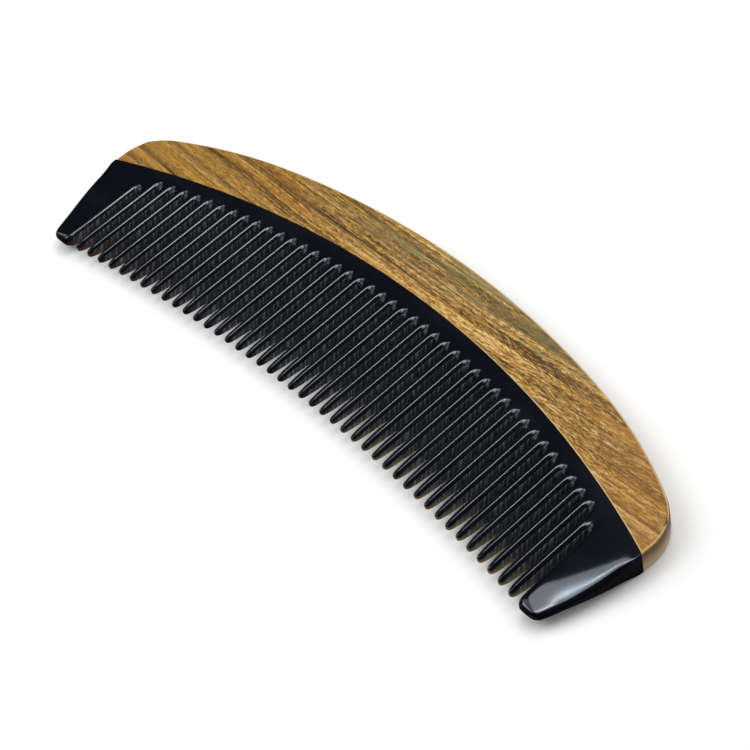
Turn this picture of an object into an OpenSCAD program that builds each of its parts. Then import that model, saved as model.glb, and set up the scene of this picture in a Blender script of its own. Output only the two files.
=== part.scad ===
// A dressing comb of horn with a wooden back, lying flat on the face of its back.
// X runs along the comb, +Y points to its back and +Z up. The origin lies under the middle of its box.

/* [Back] */
// Height of the wooden back above the glue joint, at the middle
back_rise = 13.2; // [11:0.1:16]
// Radius of the long arc of the back
back_r = 216; // [205:1:230]
// Radius of the shoulders, where the back tightens towards the ends
shoulder_r = 113; // [100:1:125]
// Radius of the rounded corners at the ends
corner_r = 11.7; // [10:0.1:14]
// Angle from the middle of the comb where the shoulders begin, in degrees
shoulder_angle = 13.6; // [12:0.1:15]
// Angle where the rounded corners begin, in degrees
corner_angle = 28.8; // [27:0.1:31]
// Size of the eased edge round the wooden back
back_ease = 0.6; // [0.3:0.1:1.2]

/* [Joint] */
// Radius of the arc along which wood and horn are glued
glue_r = 222; // [215:1:230]
// Width of the glue line between wood and horn
glue_gap = 0.06; // [0.04:0.01:0.1]

/* [Thickness] */
// Thickness of the back, and of the horn at the glue joint
comb_t = 6; // [5:0.1:8]
// Thickness of the middle teeth at their tips
tip_t = 2; // [1.6:0.1:2.6]

/* [Teeth] */
// Number of teeth between the two end guards
tooth_count = 42; // [30:1:42]
// Distance from one tooth to the next
tooth_pitch = 3.46; // [3.2:0.02:3.46]
// Width of a tooth at its root
tooth_root_w = 2.2; // [1.8:0.05:2.4]
// Width of a tooth near its tip
tooth_tip_w = 1.3; // [1:0.05:1.5]
// Distance from the glue joint down to the tips of the middle teeth
tip_drop = 33.8; // [31:0.1:36]
// Radius of the arc on which the tips lie
tip_r = 480; // [430:5:560]
// Distance from the glue joint down to the roots of the middle gaps
root_drop = 5.6; // [5:0.1:8]
// Radius of the arc on which the roots lie
root_r = 234; // [225:1:245]
// How much shorter the two outermost gaps are
end_gap_cut = 2.6; // [1:0.1:4]

/* [Grooves] */
// Width of the filed groove along each gap, on both faces
groove_w = 2.5; // [2.3:0.05:2.8]
// Depth to which the sides of that groove would meet
groove_d = 0.9; // [0.6:0.05:0.95]
// How far the groove runs out past the middle of the round root of the gap
scoop_len = 1.6; // [1.3:0.1:2]

/* [Guards] */
// Lean of the two end edges from square where they leave the rounded corners, in degrees
end_lean = 2.4; // [1:0.1:5]
// Radius of the long arc in which each end edge bows outwards
end_r = 72; // [68:1:90]
// Distance from the glue joint, at the middle of the comb, down to the guard tips
guard_drop = 40; // [38.5:0.1:42]
// Radius of the corners of the guard tips
guard_corner_r = 1.3; // [0.8:0.1:1.6]
// Slope of the bevel on the outer side of each guard, in degrees
bevel_slope = 10; // [5:1:12]
// Width of that bevel at the guard tip
bevel_w = 4.4; // [3:0.1:5]
// Distance from the glue joint, at the middle of the comb, down to where the bevel begins
bevel_drop = 19.5; // [17:0.5:24]

/* [Hidden] */

// Levels along Y. The glue joint's highest point is placed so that the box is centred on the origin.
glue_y = (guard_drop - back_rise) / 2;
tip_y = glue_y - tip_drop;
guard_y = glue_y - guard_drop;
root_y = glue_y - root_drop;
bevel_y = glue_y - bevel_drop;
glue_centre = [0, glue_y - glue_r];
mid_z = comb_t / 2;

// A unit vector at an angle clockwise from +Y.
function heading(a) = [sin(a), cos(a)];

// Centres of the three tangent arcs of the back, each from the one before.
back_centre = [0, glue_y + back_rise - back_r];
shoulder_centre = back_centre + (back_r - shoulder_r) * heading(shoulder_angle);
corner_centre = shoulder_centre + (shoulder_r - corner_r) * heading(corner_angle);

// Each end edge is a long arc that leaves the corner arc where it has turned to this angle.
end_angle = 90 + end_lean;
end_top = corner_centre + corner_r * heading(end_angle);
end_centre = end_top - end_r * heading(end_angle);
function end_x(y) = end_centre.x + sqrt(end_r * end_r - pow(y - end_centre.y, 2));

// How far the wood's outline is drawn on along the end edge, past the glue joint, and the steps of the long arc.
end_over = 4.5;
end_step = 1.5;

// Slope of each face of the horn plate, and the height of its upper face at a point.
face_slope = atan((comb_t - tip_t) / 2 / tip_drop);
function face_z(p) = comb_t - (glue_r - norm([p.x, p.y] - glue_centre)) * tan(face_slope);
function on_face(x, y) = [x, y, face_z([x, y])];

// Places along the row of teeth.
function tooth_x(i) = (i - (tooth_count - 1) / 2) * tooth_pitch;
function gap_x(i) = (i - tooth_count / 2) * tooth_pitch;
function arc_y(top, r, x) = top - r + sqrt(r * r - x * x);
function is_end_gap(i) = i == 0 || i == tooth_count;
function gap_root_y(i) = arc_y(root_y, root_r, gap_x(i)) - (is_end_gap(i) ? end_gap_cut : 0);
function tooth_tip_y(i) = arc_y(tip_y, tip_r, tooth_x(i));
gap_root_r = (tooth_pitch - tooth_root_w) / 2;
tooth_tip_r = tooth_tip_w / 2;
guard_inner_x = gap_x(tooth_count) + tooth_pitch / 2 - tooth_tip_r;

// Nose of the teeth, in profile: half its height at the very tip, how far back it reaches and how steeply it rises.
nose_z = 0.4;
nose_len = 1.1;
nose_slope = 0.8;

// How far the solids that are cut away stand out above the faces.
above = 2;
clear = 0.3;

// Where the scoop of a groove starts, from the middle of the round root, and its number of facets.
scoop_start = 0.2;
scoop_facets = 5;

// Points on an arc about a centre, from one heading to another.
function arc_points(centre, r, from, to, steps) =
  [for (k = [0 : steps]) centre + r * heading(from + (to - from) * k / steps)];

function mirrored(points) = [for (k = [len(points) - 1 : -1 : 0]) [-points[k].x, points[k].y]];

// Outline of the back and the end edges on the +X side, moved inwards by an amount.
function back_side(inset) = concat(
  arc_points(back_centre, back_r - inset, 0, shoulder_angle, 18),
  arc_points(shoulder_centre, shoulder_r - inset, shoulder_angle, corner_angle, 16),
  arc_points(corner_centre, corner_r - inset, corner_angle, end_angle, 16),
  arc_points(end_centre, end_r - inset, end_angle + end_step, end_angle + end_over, 2)
);

module back_plan(inset) {
  side = back_side(inset);
  polygon(concat(mirrored(side), side));
}

module wood_back() {
  color("peru")
    difference() {
      hull() {
        linear_extrude(comb_t) back_plan(back_ease);
        translate([0, 0, back_ease]) linear_extrude(comb_t - 2 * back_ease) back_plan(0);
      }
      translate([glue_centre.x, glue_centre.y, -1]) cylinder(h = comb_t + 2, r = glue_r, $fn = 360);
    }
}

// A gap in plan, from the tooth on its left round the root to the tooth on its right.
function gap_points(i) = arc_points([gap_x(i), gap_root_y(i)], gap_root_r, -90, 90, 8);

// The round end of a tooth in plan, from its left side to its right.
function tip_points(i) = arc_points([tooth_x(i), tooth_tip_y(i) + tooth_tip_r], tooth_tip_r, 270, 90, 8);

// The guard at the +X end in plan, from its inner side round its tip and up the end edge.
function guard_points() =
  let (
    y = guard_y + guard_corner_r,
    reach = end_r - guard_corner_r,
    turn = 90 + asin((end_centre.y - y) / reach)
  )
  concat(
    arc_points([guard_inner_x + guard_corner_r, y], guard_corner_r, 270, 180, 6),
    arc_points(end_centre + reach * heading(turn), guard_corner_r, 180, turn, 6),
    arc_points(end_centre, end_r, turn - end_step, end_angle, 9),
    [[end_top.x, glue_y + 1]]
  );

module horn_plan()
  polygon(concat(
    mirrored(guard_points()),
    [for (i = [0 : tooth_count - 1]) each concat(gap_points(i), tip_points(i))],
    gap_points(tooth_count),
    guard_points()
  ));

// Both faces of the plate are cones about the centre of the glue arc, so it thins evenly to the tips.
module taper() {
  reach = guard_drop * 1.5;
  lift = reach * tan(face_slope);
  rim = glue_r - glue_gap;
  rim_lift = glue_gap * tan(face_slope);
  translate([glue_centre.x, glue_centre.y, 0])
    rotate([0, 0, 60]) rotate_extrude(angle = 60, $fn = 360)
      polygon([
        [glue_r - reach, lift], [rim, rim_lift],
        [rim, comb_t - rim_lift], [glue_r - reach, comb_t - lift]
      ]);
}

// What is filed out along one gap: a straight V that runs out behind the root of the gap in a round scoop.
// Its edge lies at the groove's depth, and its rim at a height just clear of the face.
module groove(i) {
  x = gap_x(i);
  top = on_face(x, gap_root_y(i));
  tip = on_face(x, gap_root_y(i) - tip_drop);
  slope = atan((top.z - tip.z) / tip_drop);
  spread = 1 + clear / groove_d;
  w = groove_w / 2 * spread;
  run = (scoop_len - scoop_start) * spread;
  turns = [for (k = [0 : scoop_facets]) -90 + 180 * k / scoop_facets];
  rim = [for (t = turns) [w * sin(t), scoop_start + run * cos(t), clear]];
  n = len(rim);
  translate(top) rotate([slope, 0, 0])
    polyhedron(
      points = concat([
        [0, scoop_start, -groove_d], [0, -tip_drop, -groove_d],
        [w, -tip_drop, clear], [-w, -tip_drop, clear]
      ], rim),
      faces = concat(
        [[0, 4, 3, 1], [0, 1, 2, 3 + n], [1, 3, 2]],
        [for (k = [0 : n - 2]) [0, 5 + k, 4 + k]],
        [concat([2, 3], [for (k = [0 : n - 1]) 4 + k])]
      )
    );
}

module grooves() for (i = [0 : tooth_count]) groove(i);

// What is taken off above the tips of the teeth, to give each a nose.
module tip_nose() {
  from = mid_z + nose_z - above * nose_slope;
  to = mid_z + nose_z + nose_len * nose_slope;
  spread = 2 * asin(guard_inner_x / tip_r);
  translate([0, tip_y - tip_r, 0])
    rotate([0, 0, 90 - spread / 2]) rotate_extrude(angle = spread, $fn = 360)
      polygon([
        [tip_r - above, from], [tip_r + nose_len, to],
        [tip_r + nose_len, comb_t + above], [tip_r - above, comb_t + above]
      ]);
}

// What is taken off the outer side of the guard at the +X end: all above a plane that falls outwards.
module guard_bevel() {
  low = on_face(end_x(guard_y) - bevel_w, guard_y);
  high = on_face(end_x(bevel_y), bevel_y);
  along = high - low;
  turn = atan2(along.y, along.x);
  rise = atan2(along.z, norm([along.x, along.y]));
  translate(low) rotate([0, -rise, turn]) rotate([bevel_slope, 0, 0])
    translate([-bevel_w, -2 * bevel_w, 0]) cube([norm(along) + 2 * bevel_w, 3 * bevel_w, above]);
}

// The same cuts again, on the lower face.
module on_lower_face() translate([0, 0, comb_t]) mirror([0, 0, 1]) children();

module on_both_ends() {
  children();
  mirror([1, 0, 0]) children();
}

// The tapered plate with its teeth sawn out, before any filing.
module sawn_plate()
  intersection() {
    linear_extrude(comb_t) horn_plan();
    taper();
  }

// The sawn plate with its noses and its two bevelled guards.
module shaped_plate()
  difference() {
    sawn_plate();
    tip_nose();
    on_both_ends() guard_bevel();
    on_lower_face() {
      tip_nose();
      on_both_ends() guard_bevel();
    }
  }

module horn_plate() {
  color([0.07, 0.08, 0.1])
    difference() {
      difference() {
        shaped_plate();
        grooves();
      }
      on_lower_face() grooves();
    }
}

wood_back();
horn_plate();
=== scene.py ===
"""A dressing comb of polished horn with a crescent back of streaked wood, lying flat on a pale floor.

Every size is in millimetres, turned into metres where a mesh is finished. X runs along the comb, +Y points to
its back and +Z up, and the origin lies under the middle of its box.
"""

import logging
import math
from collections.abc import Callable, Iterator, Sequence
from dataclasses import dataclass
from enum import Enum
from functools import cached_property

import bpy
from mathutils import Matrix, Quaternion, Vector


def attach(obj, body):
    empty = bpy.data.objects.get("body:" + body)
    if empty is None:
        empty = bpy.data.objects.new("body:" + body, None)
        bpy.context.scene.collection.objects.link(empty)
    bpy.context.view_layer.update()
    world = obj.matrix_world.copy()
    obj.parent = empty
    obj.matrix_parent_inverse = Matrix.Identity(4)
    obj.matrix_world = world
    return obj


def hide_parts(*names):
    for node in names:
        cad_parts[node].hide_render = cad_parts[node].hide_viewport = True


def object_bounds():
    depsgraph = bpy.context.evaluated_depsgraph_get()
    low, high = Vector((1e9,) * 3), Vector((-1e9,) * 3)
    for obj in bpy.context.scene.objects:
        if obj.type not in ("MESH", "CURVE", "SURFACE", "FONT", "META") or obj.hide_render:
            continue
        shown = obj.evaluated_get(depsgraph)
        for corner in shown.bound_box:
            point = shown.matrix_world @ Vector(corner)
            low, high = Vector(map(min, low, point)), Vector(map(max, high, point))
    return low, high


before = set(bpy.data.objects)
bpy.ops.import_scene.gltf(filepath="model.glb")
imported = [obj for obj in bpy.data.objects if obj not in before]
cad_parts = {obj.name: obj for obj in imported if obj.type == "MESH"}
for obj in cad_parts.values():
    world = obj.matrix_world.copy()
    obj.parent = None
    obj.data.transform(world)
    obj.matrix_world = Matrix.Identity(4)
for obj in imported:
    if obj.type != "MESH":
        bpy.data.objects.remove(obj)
CAD_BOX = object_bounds()

MM = 0.001
# Corners nearer to each other than this are one, in millimetres. LOOSE is for curves and for joined cells.
NEAR = 1e-4
LOOSE = 1e-3
Colour = tuple[float, float, float]
Triple = tuple[float, float, float]
Span = tuple[float, float]
Window = tuple[Span, Span]
Piece = bpy.types.Object
log = logging.getLogger("comb")


# Sizes of the comb
def heading(degrees: float) -> Vector:
    """Unit vector in plan at an angle clockwise from +Y, in degrees."""
    turn = math.radians(degrees)
    return Vector((math.sin(turn), math.cos(turn)))


def smooth(low: float, high: float, value: float) -> float:
    """Smooth step from 0 at low to 1 at high."""
    t = min(max((value - low) / (high - low), 0.0), 1.0)
    return t * t * (3 - 2 * t)


def blend(start: float, end: float, share: float) -> float:
    """Value a share of the way from start to end."""
    return start + (end - start) * share


@dataclass(frozen=True)
class CombPlan:
    """Driving sizes of the whole comb, in millimetres, and the curves worked out from them.

    The heights, widths and radii are those of the two solids, and half_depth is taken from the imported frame.
    """

    half_depth: float
    thickness: float
    back_rise: float = 13.2
    back_r: float = 216.0
    shoulder_r: float = 113.0
    corner_r: float = 11.7
    shoulder_angle: float = 13.6
    corner_angle: float = 28.8
    glue_r: float = 222.0
    glue_gap: float = 0.06
    tip_thickness: float = 2.0
    tooth_count: int = 42
    pitch: float = 3.46
    tip_drop: float = 33.8
    tip_r: float = 480.0
    root_drop: float = 5.6
    root_r: float = 234.0
    end_gap_cut: float = 2.6
    end_lean: float = 2.4
    end_r: float = 72.0
    end_over: float = 8.0
    end_halvings: int = 40

    @classmethod
    def from_frame(cls) -> "CombPlan":
        """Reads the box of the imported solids."""
        low, high = CAD_BOX
        return cls(half_depth=(high.y - low.y) / 2 / MM, thickness=(high.z - low.z) / MM)

    @property
    def glue_y(self) -> float:
        """Highest point of the glue joint along Y."""
        return self.half_depth - self.back_rise

    @property
    def mid_z(self) -> float:
        """Height of the comb's middle plane."""
        return self.thickness / 2

    @property
    def glue_centre(self) -> Vector:
        """Centre of the arc along which wood and horn meet."""
        return Vector((0, self.glue_y - self.glue_r))

    @property
    def arcs(self) -> list[tuple[float, float, Vector]]:
        """Arcs of the outline's +X half.

        Returns:
            The normal's turn where each starts, its radius and its centre.
        """
        starts = (0.0, self.shoulder_angle, self.corner_angle, 90 + self.end_lean)
        arcs, centre, last = [], Vector((0, self.half_depth)), 0.0
        for start, radius in zip(starts, (self.back_r, self.shoulder_r, self.corner_r, self.end_r)):
            centre = centre + (last - radius) * heading(start)
            arcs.append((start, radius, centre))
            last = radius
        return arcs

    def outline(self, turn: float) -> Vector:
        """Point on the outline's +X half where its normal has turned by an angle from +Y."""
        _, radius, centre = [arc for arc in self.arcs if arc[0] <= turn][-1]
        return centre + radius * heading(turn)

    def end_x(self, y: float) -> float:
        """Place along X of the bowed end edge on the +X side, at a place along Y."""
        _, radius, centre = self.arcs[-1]
        return centre.x + math.sqrt(radius * radius - (y - centre.y) ** 2)

    def arc_y(self, top: float, radius: float, x: float) -> float:
        """Height along Y of an arc about the comb's middle line."""
        return top - radius + math.sqrt(radius * radius - x * x)

    def glue_line(self, x: float) -> float:
        """Edge of the horn at the glue joint, at a place along X."""
        return self.arc_y(self.glue_y - self.glue_gap, self.glue_r - self.glue_gap, x)

    def root_line(self, x: float) -> float:
        """Arc on which the roots of the gaps lie."""
        return self.arc_y(self.glue_y - self.root_drop, self.root_r, x)

    def tip_line(self, x: float) -> float:
        """Arc on which the tips of the teeth lie."""
        return self.arc_y(self.glue_y - self.tip_drop, self.tip_r, x)

    def half_thickness(self, x: float, y: float) -> float:
        """Height of the horn's upper face above the middle plane, less the further from the glue joint.

        Args:
            x: Place along X.
            y: Place along Y.

        Returns:
            The height.
        """
        taper = (self.thickness - self.tip_thickness) / 2 / self.tip_drop
        fall = self.glue_r - (Vector((x, y)) - self.glue_centre).length
        return self.mid_z - fall * taper

    def gap_x(self, index: int) -> float:
        """Place along X of a gap's middle, counted from the -X end."""
        return (index - self.tooth_count / 2) * self.pitch

    def glue_end(self) -> float:
        """Finds where the back's outline meets the glue joint.

        Returns:
            The turn of its normal there, in degrees.
        """
        low, high = self.corner_angle, 90 + self.end_lean + self.end_over
        for _ in range(self.end_halvings):
            turn = (low + high) / 2
            out = (self.outline(turn) - self.glue_centre).length > self.glue_r
            low, high = (turn, high) if out else (low, turn)
        return low


# Work with Blender's operators
def edit_mode() -> None:
    """Opens the active piece's mesh for edits."""
    bpy.ops.object.mode_set(mode="EDIT")


def object_mode() -> None:
    """Closes the mesh that is open."""
    bpy.ops.object.mode_set(mode="OBJECT")


def clear_selection() -> None:
    """Deselects every object."""
    if bpy.context.object and bpy.context.object.mode != "OBJECT":
        object_mode()
    bpy.ops.object.select_all(action="DESELECT")


def pick(*objects: Piece) -> None:
    """Selects these objects alone, the first of them active."""
    clear_selection()
    for item in objects:
        item.select_set(True)
    bpy.context.view_layer.objects.active = objects[0]


def apply_modifier(piece: Piece, kind: str, **settings: object) -> None:
    """Adds a modifier to a piece, sets it and applies it.

    Args:
        piece: The piece that it shapes.
        kind: The modifier's type, such as MIRROR.
        settings: Its properties by name.
    """
    pick(piece)
    modifier = piece.modifiers.new(kind.title(), kind)
    for name, value in settings.items():
        setattr(modifier, name, value)
    bpy.ops.object.modifier_apply(modifier=modifier.name)


def select_vertices(piece: Piece, wanted: Callable[[Vector], bool]) -> None:
    """Selects, in edit mode, the edges and faces whose corners all lie where wanted says.

    Args:
        piece: The mesh, which is left in edit mode.
        wanted: Test on a corner's place.
    """
    edit_mode()
    bpy.ops.mesh.select_mode(type="VERT")
    bpy.ops.mesh.select_all(action="DESELECT")
    object_mode()
    for vertex in piece.data.vertices:
        vertex.select = wanted(vertex.co)
    edit_mode()
    bpy.ops.mesh.select_mode(type="EDGE")


def new_sheet(name: str, columns: Sequence[float], rows: Sequence[float]) -> Piece:
    """A flat grid whose lines run at the given places.

    Args:
        name: The piece's name.
        columns: Places of its lines along X, rising.
        rows: Places of its lines along Y, rising.

    Returns:
        The new object, in object mode.
    """
    clear_selection()
    wide, tall = len(columns) - 1, len(rows) - 1
    bpy.ops.mesh.primitive_grid_add(x_subdivisions=wide, y_subdivisions=tall, size=2)
    piece = bpy.context.object
    piece.name = piece.data.name = name
    for vertex in piece.data.vertices:
        column = round((vertex.co.x + 1) / 2 * wide)
        row = round((vertex.co.y + 1) / 2 * tall)
        vertex.co = (columns[column], rows[row], 0)
    return piece


def extrude_edges(steps: Sequence[Vector]) -> None:
    """Extrudes the selected edges once for each step."""
    for step in steps:
        bpy.ops.mesh.extrude_region_move(TRANSFORM_OT_translate={"value": step})


def moved_copy(piece: Piece, move: Matrix) -> Piece:
    """Copies a piece.

    Args:
        piece: The piece.
        move: What is done to the copy's own mesh.

    Returns:
        The copy.
    """
    pick(piece)
    bpy.ops.object.duplicate()
    copy = bpy.context.object
    copy.data.transform(move)
    return copy


def weld(piece: Piece, reach: float) -> None:
    """Merges the corners of a mesh that lie close together and turns its faces outwards.

    Args:
        piece: The mesh.
        reach: How close they lie.
    """
    pick(piece)
    edit_mode()
    bpy.ops.mesh.select_all(action="SELECT")
    bpy.ops.mesh.remove_doubles(threshold=reach)
    bpy.ops.mesh.normals_make_consistent(inside=False)
    object_mode()


def finish_piece(piece: Piece, material: bpy.types.Material, node: str, sharp: float) -> None:
    """Brings a piece to metres, shades and dresses it, and puts it in a solid's place.

    Args:
        piece: The piece, in millimetres.
        material: Its finish.
        node: The solid that it stands for.
        sharp: Angle above which an edge stays sharp, in degrees.
    """
    piece.data.transform(Matrix.Scale(MM, 4))
    weld(piece, NEAR * MM)
    bpy.ops.object.shade_smooth_by_angle(angle=math.radians(sharp))
    piece.data.materials.append(material)
    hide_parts(node)
    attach(piece, "root")
    log.info("%s: %d faces", piece.name, len(piece.data.polygons))


# The horn plate
@dataclass
class HornPlate:
    """The toothed plate: a spine, 42 teeth and two wide end guards, all of one piece of horn.

    One quarter of a tooth's cell is modelled flat on a straight pattern, mirrored to a whole cell and copied
    along the row. The cell's columns run from the crest at 0 to the middle of the gap, and its rows from the
    tip to the glue joint, with the root of the gap at 0. Then every corner is moved from the pattern to its
    place on the comb.
    """

    plan: CombPlan
    root_half: float = 1.1
    tip_half: float = 0.65
    groove_half: float = 1.4
    scoop_reach: float = 2.1
    crest_rs: Span = (0.42, 0.32)
    crest_run: float = 22.0
    crest_slope: float = 0.6
    tip_swell: float = 3.2
    pattern_length: float = 28.2
    pattern_half: float = 3.0
    wall_top: float = 2.4
    wall_round: float = 0.12
    square_y: float = 2.9
    pattern_glue: float = 5.6
    guard_columns: Sequence[float] = (0.6, 1.5, 2.4, 3.3, 4.1, 4.8, 5.4, 5.75, 5.9, 5.96, 6.0)
    edge_least: float = 0.02
    edge_most: float = 0.8
    guard_corner_r: float = 1.3
    guard_drop: float = 40.0
    bevel_drops: Span = (18.5, 20.8)
    bevel_root: float = 94.0
    bevel_run: float = 0.58
    bevel_inner: float = 74.5
    bevel_ease: float = 1.6
    bevel_slope: float = 0.12
    bevel_heel: float = 0.5
    bevel_bend: float = 0.015
    facet_reach: float = 1.9
    tip_edge: float = 1.9
    rim_corner_r: float = 2.4
    facet_slope: float = 0.45
    facet_ease: float = 0.5
    tip_thin: Span = (4.0, 0.32)
    tip_narrow: float = 0.25
    guard_thin: float = 0.2
    full_wall: float = 1.1
    sharp: float = 50.0
    tooth_rows: Sequence[float] = (0.0, 0.08, 0.28, 0.65, 1.25, 2.3, 4.2, 14.0, 25.3)
    guard_rows: Sequence[float] = (
        0.0, 0.07, 0.22, 0.5, 0.95, 1.5, 2.1, 3.2, 5.0, 7.9, 10.8, 13.7, 16.6, 19.5, 22.4, 25.3
    )
    columns: Sequence[float] = (0.0, 0.14, 0.3, 0.5, 0.8, 1.1)
    fan: Sequence[float] = (18.0, 36.0, 54.0, 72.0, 90.0)
    spine_rows: Sequence[float] = (0.45, 0.45, 0.1)
    ring_halvings: int = 24
    guard_rounds: int = 6

    @property
    def half_pitch(self) -> float:
        """Half the distance between two teeth."""
        return self.plan.pitch / 2

    def quarter(self, rows: Sequence[float]) -> Piece:
        """Models the pattern of a quarter cell: half a tooth's width and half its thickness.

        Beyond the root each column bends round the gap, and one column more fills the corner that they leave.

        Args:
            rows: Distances from the tip of the rows below the root.

        Returns:
            The pattern, open on the sides where it is mirrored.
        """
        # One more column stands to the left of the crest, and past the root a row's place is its number.
        places = [row - self.pattern_length for row in rows]
        places += [float(k) for k in range(len(self.fan) + 1)]
        piece = new_sheet("horn_plate", (-1.0, *self.columns), places)
        select_vertices(piece, lambda co: co.x <= NEAR and co.y <= NEAR)
        bpy.ops.mesh.select_mode(type="FACE")
        bpy.ops.mesh.delete(type="FACE")
        object_mode()
        for vertex in piece.data.vertices:
            if vertex.co.y > NEAR:
                ray = round(vertex.co.y) - 1
                vertex.co = self.corner_point(ray) if vertex.co.x < 0 else self.fan_point(vertex.co.x, ray)
            vertex.co.x = max(vertex.co.x, 0.0)
            vertex.co.z = self.pattern_half - self.relief(vertex.co)
        weld(piece, NEAR)
        self.raise_spine(piece)
        self.drop_walls(piece)
        return piece

    def stretch(self, across: float) -> float:
        """How much longer than wide a ring round the gap's root is, at a distance from the gap's middle.

        Args:
            across: The distance.

        Returns:
            The ratio.
        """
        slot = self.half_pitch - self.columns[-1]
        grown = min((across - slot) / (self.groove_half - slot), 1.0)
        return blend(1.0, self.scoop_reach / self.groove_half, grown)

    def fan_point(self, column: float, ray: int) -> Vector:
        """Place on the pattern of a column where a ray of the fan crosses it.

        Args:
            column: Number of the column.
            ray: Number of the ray.

        Returns:
            The place.
        """
        turn = math.radians(self.fan[ray])
        across = self.half_pitch - column
        up = across * self.stretch(across) * math.sin(turn)
        return Vector((self.half_pitch - across * math.cos(turn), up, 0))

    def corner_point(self, ray: int) -> Vector:
        """Place on the pattern's straight border where a ray of the fan meets it."""
        share = (ray - 1) / (len(self.fan) - 2)
        return Vector((self.half_pitch * max(share, 0.0), self.square_y * (0.5 if ray == 0 else 1.0), 0))

    def relief(self, place: Vector) -> float:
        """Depth of the filed groove below the face.

        Args:
            place: A place on the pattern.

        Returns:
            The depth, which past the root is that of the ring round the gap on which the place lies.
        """
        across = self.half_pitch - place.x
        if place.y <= 0:
            return self.crest_depth(place.x, place.y)
        low, high = 0.0, 2 * self.half_pitch
        for _ in range(self.ring_halvings):
            ring = (low + high) / 2
            outside = math.hypot(across, place.y / self.stretch(ring)) > ring
            low, high = (ring, high) if outside else (low, ring)
        return self.crest_depth(max(self.half_pitch - low, 0.0), 0.0)

    def crest_depth(self, x: float, y: float) -> float:
        """Fall of the crest of a tooth, rounder near the root, at a distance from its middle line."""
        radius = blend(*self.crest_rs, smooth(0.0, self.crest_run, -y))
        return self.crest_slope * (math.hypot(x, radius) - radius)

    def raise_spine(self, piece: Piece) -> None:
        """Carries the top of the pattern up to the glue joint.

        Args:
            piece: The pattern.
        """
        select_vertices(piece, lambda co: abs(co.y - self.square_y) < NEAR)
        rise = self.pattern_glue - self.square_y
        extrude_edges([Vector((0, rise * share, 0)) for share in self.spine_rows])
        object_mode()
        for vertex in piece.data.vertices:
            if vertex.co.y > self.square_y - NEAR:
                vertex.co.z = self.pattern_half

    def drop_walls(self, piece: Piece) -> None:
        """Carries the edges round the tooth, the root and the glue joint down to the middle plane.

        Args:
            piece: The pattern.
        """
        slot = self.half_pitch - self.columns[-1]
        tip, glue = -self.pattern_length, self.pattern_glue

        def on_rim(co: Vector) -> bool:
            """Tells the corners on the pattern's outer rim."""
            round_root = abs(math.hypot(self.half_pitch - co.x, co.y) - slot) < LOOSE and co.y >= 0
            along = abs(co.x - self.columns[-1]) < NEAR and co.y <= 0
            return round_root or along or abs(co.y - tip) < NEAR or abs(co.y - glue) < NEAR

        select_vertices(piece, on_rim)
        self.extrude_wall(piece)

    def extrude_wall(self, piece: Piece) -> None:
        """Carries the selected edges of the face down to the middle plane.

        Args:
            piece: The pattern.
        """
        extrude_edges([Vector((0, 0, -self.wall_round)), Vector((0, 0, -1))])
        object_mode()
        for vertex in piece.data.vertices:
            if vertex.select:
                vertex.co.z = 0.0

    def guard_quarter(self) -> Piece:
        """Models a guard's pattern: the mirror image of a quarter cell, widened beyond the crest.

        Returns:
            The pattern.
        """
        piece = self.quarter(self.guard_rows)
        piece.data.transform(Matrix.Scale(-1, 4, (1, 0, 0)))
        select_vertices(piece, lambda co: abs(co.x) < NEAR)
        steps = [b - a for a, b in zip((0.0, *self.guard_columns), self.guard_columns)]
        extrude_edges([Vector((step, 0, 0)) for step in steps])
        object_mode()
        edge = self.guard_columns[-1]
        select_vertices(piece, lambda co: abs(co.x - edge) < NEAR and co.z > self.pattern_half - NEAR)
        self.extrude_wall(piece)
        weld(piece, NEAR)
        return piece

    def build(self, material: bpy.types.Material) -> Piece:
        """Models the plate.

        Args:
            material: The finish of the horn.

        Returns:
            The finished piece.
        """
        quarter = self.quarter(self.tooth_rows)
        guard = self.guard_quarter()
        for piece, sideways in ((quarter, True), (guard, False)):
            apply_modifier(piece, "MIRROR", use_axis=(sideways, False, True), merge_threshold=NEAR)
        parts = [*self.row_of(quarter), *self.both_guards(guard)]
        pick(quarter, *parts)
        bpy.ops.object.join()
        piece = bpy.context.object
        piece.name = piece.data.name = "horn_comb_plate"
        weld(piece, LOOSE)
        for vertex in piece.data.vertices:
            vertex.co = self.place(vertex.co)
        self.crease_joint(piece)
        apply_modifier(piece, "SUBSURF", levels=1, render_levels=1)
        finish_piece(piece, material, "horn_plate", self.sharp)
        return piece

    def crease_joint(self, piece: Piece) -> None:
        """Keeps the two long edges at the glue joint crisp when the mesh is smoothed.

        Args:
            piece: The plate.
        """
        plan = self.plan
        crease = piece.data.attributes.new("crease_edge", "FLOAT", "EDGE")
        joint_r = plan.glue_r - plan.glue_gap
        rim = [
            abs((co.xy - plan.glue_centre).length - joint_r) < self.wall_round
            and abs(co.z - plan.mid_z) > plan.mid_z - self.wall_round / 2
            for co in (vertex.co for vertex in piece.data.vertices)
        ]
        for edge in piece.data.edges:
            if all(rim[i] for i in edge.vertices):
                crease.data[edge.index].value = 1.0

    def row_of(self, cell: Piece) -> Iterator[Piece]:
        """Copies the cell along the row and moves the first to its place.

        Args:
            cell: The first cell.

        Returns:
            All the cells.
        """
        first, *others = (Matrix.Translation((self.tooth_x(k), 0, 0)) for k in range(self.plan.tooth_count))
        for move in others:
            yield moved_copy(cell, move)
        cell.data.transform(first)

    def both_guards(self, guard: Piece) -> Iterator[Piece]:
        """Sets the guard's pattern at the +X end and its mirror image at the other.

        Args:
            guard: The pattern.

        Returns:
            Both guards.
        """
        guard.data.transform(Matrix.Translation((self.tooth_x(self.plan.tooth_count), 0, 0)))
        yield guard
        yield moved_copy(guard, Matrix.Scale(-1, 4, (1, 0, 0)))

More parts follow.
